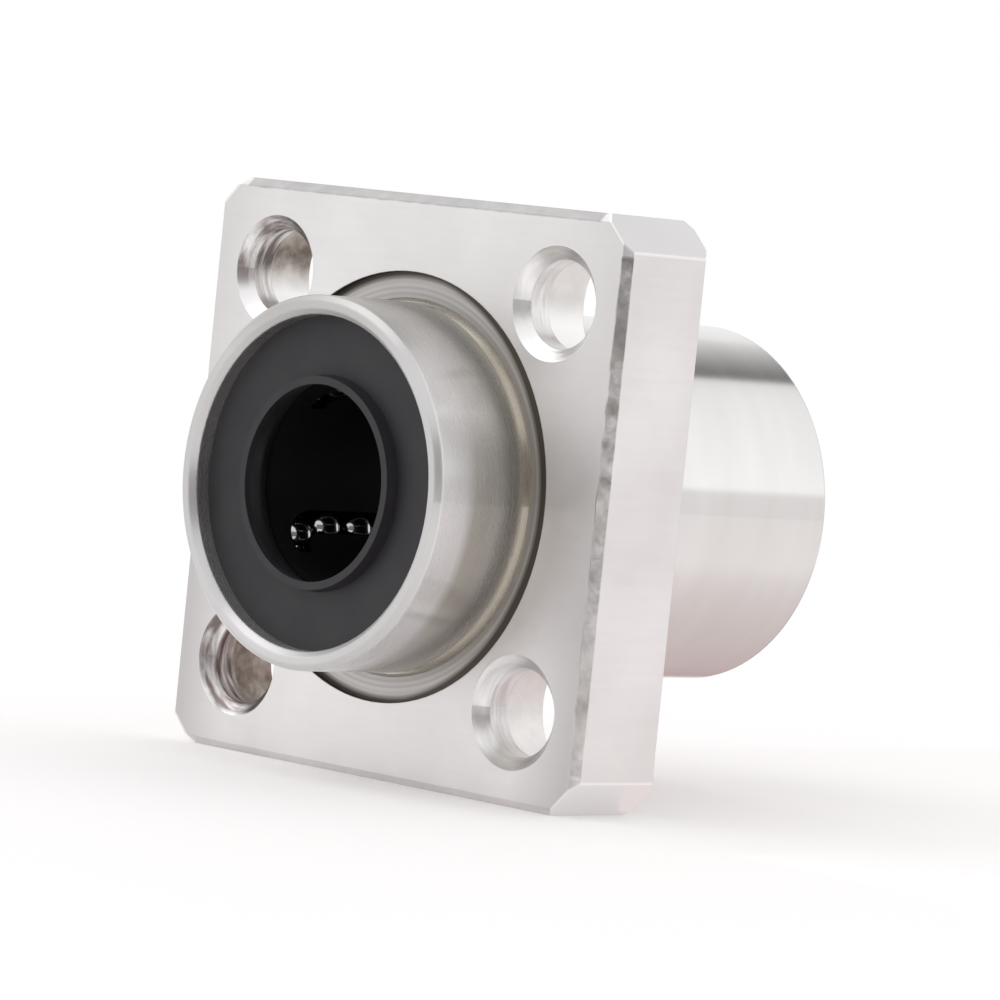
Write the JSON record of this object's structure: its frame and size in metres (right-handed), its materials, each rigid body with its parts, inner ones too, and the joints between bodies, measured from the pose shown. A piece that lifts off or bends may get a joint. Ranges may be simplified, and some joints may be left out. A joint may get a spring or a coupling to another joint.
{
  "type": "flanged linear bushing",
  "caption": "Flanged linear ball bushing: ground steel sleeve with a short pilot, a square screw flange, recirculating balls in a resin cage and rubber end seals.",
  "frame": {"origin": "on the bore axis, in the plane of the flange's front mounting face, on the pilot side", "axes": "+Y along the bore from the short pilot to the long barrel, +X and +Z square to the flange's sides"},
  "size_m": [0.03, 0.029, 0.03],
  "materials": {
    "ground_steel": "ground and polished bearing steel",
    "plated_flange": "satin nickel plating on steel",
    "ball_steel": "bright polished bearing balls",
    "spring_steel": "blued spring steel",
    "seal_rubber": "matt black moulded rubber",
    "cage_resin": "black moulded resin"
  },
  "bodies": {
    "bushing_body": {"outer_sleeve": "ground_steel", "square_flange": "plated_flange", "ball_cage": "cage_resin", "front_seal": "seal_rubber", "rear_seal": "seal_rubber", "front_retaining_ring": "spring_steel", "rear_retaining_ring": "spring_steel"},
    "load_row_1_balls": {"load_row_1": "ball_steel"},
    "return_row_1_balls": {"return_row_1": "ball_steel"},
    "front_turn_1_balls": {"front_turn_1": "ball_steel"},
    "rear_turn_1_balls": {"rear_turn_1": "ball_steel"},
    "load_row_2_balls": {"load_row_2": "ball_steel"},
    "return_row_2_balls": {"return_row_2": "ball_steel"},
    "front_turn_2_balls": {"front_turn_2": "ball_steel"},
    "rear_turn_2_balls": {"rear_turn_2": "ball_steel"},
    "load_row_3_balls": {"load_row_3": "ball_steel"},
    "return_row_3_balls": {"return_row_3": "ball_steel"},
    "front_turn_3_balls": {"front_turn_3": "ball_steel"},
    "rear_turn_3_balls": {"rear_turn_3": "ball_steel"},
    "load_row_4_balls": {"load_row_4": "ball_steel"},
    "return_row_4_balls": {"return_row_4": "ball_steel"},
    "front_turn_4_balls": {"front_turn_4": "ball_steel"},
    "rear_turn_4_balls": {"rear_turn_4": "ball_steel"}
  },
  "joints": [
    {"name": "load_row_1_roll", "type": "slide", "parent": "bushing_body", "child": "load_row_1_balls", "axis": [0, 1, 0], "range_m": [-0.0011, 0.0011]},
    {"name": "return_row_1_roll", "type": "slide", "parent": "bushing_body", "child": "return_row_1_balls", "axis": [0, 1, 0], "range_m": [-0.0011, 0.0011]},
    {"name": "front_turn_1_roll", "type": "hinge", "parent": "bushing_body", "child": "front_turn_1_balls", "pos_m": [-0.00462, -0.00062, -0.00404], "axis": [-0.8721, 0, -0.4894], "range_deg": [-42, 42]},
    {"name": "rear_turn_1_roll", "type": "hinge", "parent": "bushing_body", "child": "rear_turn_1_balls", "pos_m": [-0.00462, 0.01762, -0.00404], "axis": [-0.8721, 0, -0.4894], "range_deg": [-42, 42]},
    {"name": "load_row_2_roll", "type": "slide", "parent": "bushing_body", "child": "load_row_2_balls", "axis": [0, 1, 0], "range_m": [-0.0011, 0.0011]},
    {"name": "return_row_2_roll", "type": "slide", "parent": "bushing_body", "child": "return_row_2_balls", "axis": [0, 1, 0], "range_m": [-0.0011, 0.0011]},
    {"name": "front_turn_2_roll", "type": "hinge", "parent": "bushing_body", "child": "front_turn_2_balls", "pos_m": [0.00404, -0.00062, -0.00462], "axis": [0.4894, 0, -0.8721], "range_deg": [-42, 42]},
    {"name": "rear_turn_2_roll", "type": "hinge", "parent": "bushing_body", "child": "rear_turn_2_balls", "pos_m": [0.00404, 0.01762, -0.00462], "axis": [0.4894, 0, -0.8721], "range_deg": [-42, 42]},
    {"name": "load_row_3_roll", "type": "slide", "parent": "bushing_body", "child": "load_row_3_balls", "axis": [0, 1, 0], "range_m": [-0.0011, 0.0011]},
    {"name": "return_row_3_roll", "type": "slide", "parent": "bushing_body", "child": "return_row_3_balls", "axis": [0, 1, 0], "range_m": [-0.0011, 0.0011]},
    {"name": "front_turn_3_roll", "type": "hinge", "parent": "bushing_body", "child": "front_turn_3_balls", "pos_m": [0.00462, -0.00062, 0.00404], "axis": [0.8721, 0, 0.4894], "range_deg": [-42, 42]},
    {"name": "rear_turn_3_roll", "type": "hinge", "parent": "bushing_body", "child": "rear_turn_3_balls", "pos_m": [0.00462, 0.01762, 0.00404], "axis": [0.8721, 0, 0.4894], "range_deg": [-42, 42]},
    {"name": "load_row_4_roll", "type": "slide", "parent": "bushing_body", "child": "load_row_4_balls", "axis": [0, 1, 0], "range_m": [-0.0011, 0.0011]},
    {"name": "return_row_4_roll", "type": "slide", "parent": "bushing_body", "child": "return_row_4_balls", "axis": [0, 1, 0], "range_m": [-0.0011, 0.0011]},
    {"name": "front_turn_4_roll", "type": "hinge", "parent": "bushing_body", "child": "front_turn_4_balls", "pos_m": [-0.00404, -0.00062, 0.00462], "axis": [-0.4894, 0, 0.8721], "range_deg": [-42, 42]},
    {"name": "rear_turn_4_roll", "type": "hinge", "parent": "bushing_body", "child": "rear_turn_4_balls", "pos_m": [-0.00404, 0.01762, 0.00462], "axis": [-0.4894, 0, 0.8721], "range_deg": [-42, 42]}
  ],
  "couplings": [
    {"joint": "return_row_1_roll", "follows": "load_row_1_roll", "ratio": -1},
    {"joint": "front_turn_1_roll", "follows": "load_row_1_roll", "rad_per_m": 665.78},
    {"joint": "rear_turn_1_roll", "follows": "load_row_1_roll", "rad_per_m": 665.78},
    {"joint": "return_row_2_roll", "follows": "load_row_2_roll", "ratio": -1},
    {"joint": "front_turn_2_roll", "follows": "load_row_2_roll", "rad_per_m": 665.78},
    {"joint": "rear_turn_2_roll", "follows": "load_row_2_roll", "rad_per_m": 665.78},
    {"joint": "return_row_3_roll", "follows": "load_row_3_roll", "ratio": -1},
    {"joint": "front_turn_3_roll", "follows": "load_row_3_roll", "rad_per_m": 665.78},
    {"joint": "rear_turn_3_roll", "follows": "load_row_3_roll", "rad_per_m": 665.78},
    {"joint": "return_row_4_roll", "follows": "load_row_4_roll", "ratio": -1},
    {"joint": "front_turn_4_roll", "follows": "load_row_4_roll", "rad_per_m": 665.78},
    {"joint": "rear_turn_4_roll", "follows": "load_row_4_roll", "rad_per_m": 665.78}
  ]
}
